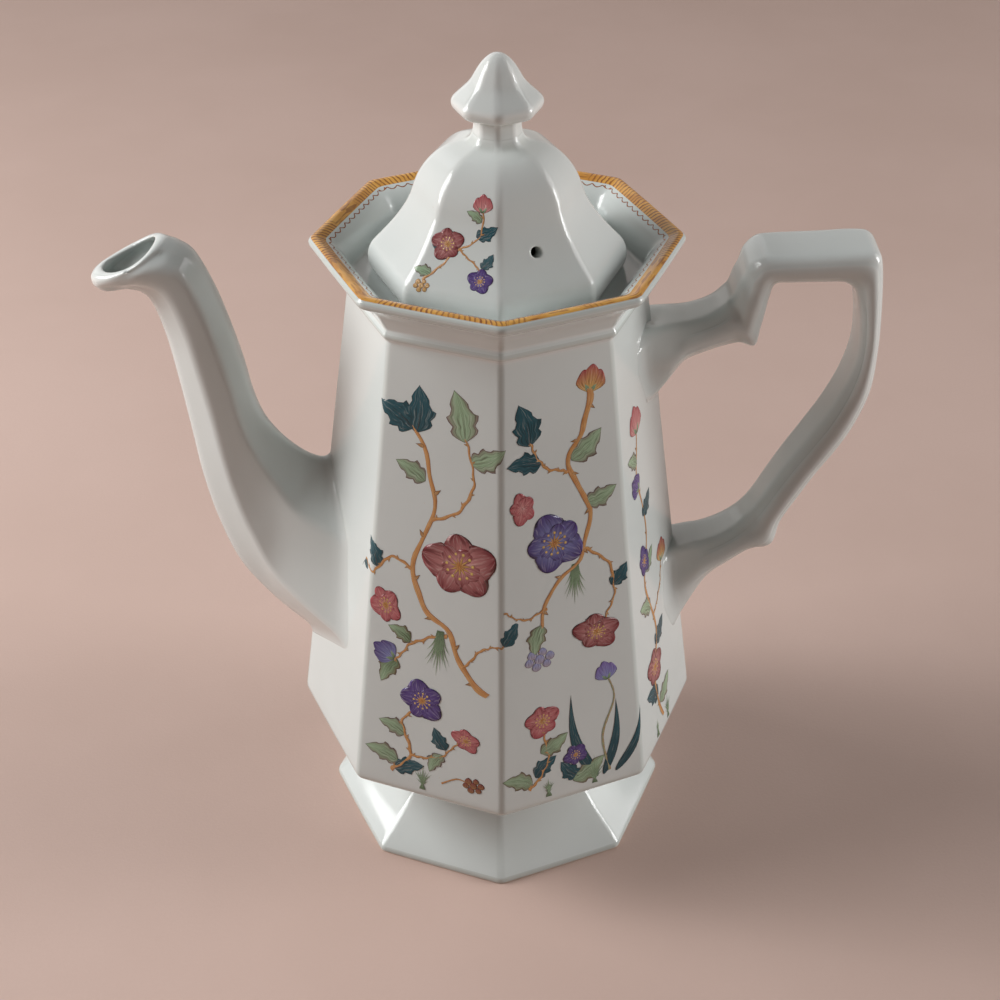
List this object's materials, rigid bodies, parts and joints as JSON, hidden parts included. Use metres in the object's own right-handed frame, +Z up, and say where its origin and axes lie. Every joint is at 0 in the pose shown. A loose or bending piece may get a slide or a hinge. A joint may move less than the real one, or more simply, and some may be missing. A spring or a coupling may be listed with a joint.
{
  "type": "coffee pot",
  "caption": "Octagonal porcelain coffee pot on a pedestal foot, with a swan-neck spout, strap handle, flared collar and a lift-off lid with a pointed knob.",
  "frame": {"origin": "centre of the octagonal foot, on the surface the pot stands on; the body's axis passes through it", "axes": "+Z up along the body's axis; -X towards the spout's pouring lip, +X towards the handle; the front view looks along +Y"},
  "size_m": [0.2182, 0.1214, 0.2459],
  "materials": {
    "pot_glaze": "glossy transparent glaze over white porcelain, with painted enamel sprays",
    "rim_enamel": "glossy glaze, with an ochre enamel band on the rim",
    "lid_glaze": "glossy transparent glaze over white porcelain"
  },
  "bodies": {
    "pot": {"pot_body": "pot_glaze", "foot": "pot_glaze", "collar": "rim_enamel", "spout": "pot_glaze", "handle": "pot_glaze"},
    "lid": {"lid_cover": "lid_glaze", "lid_flange": "lid_glaze", "lid_knob": "lid_glaze"}
  },
  "joints": [
    {"name": "lid_lift", "type": "slide", "parent": "pot", "child": "lid", "axis": [0, 0, 1], "range_m": [0, 0.06]}
  ]
}
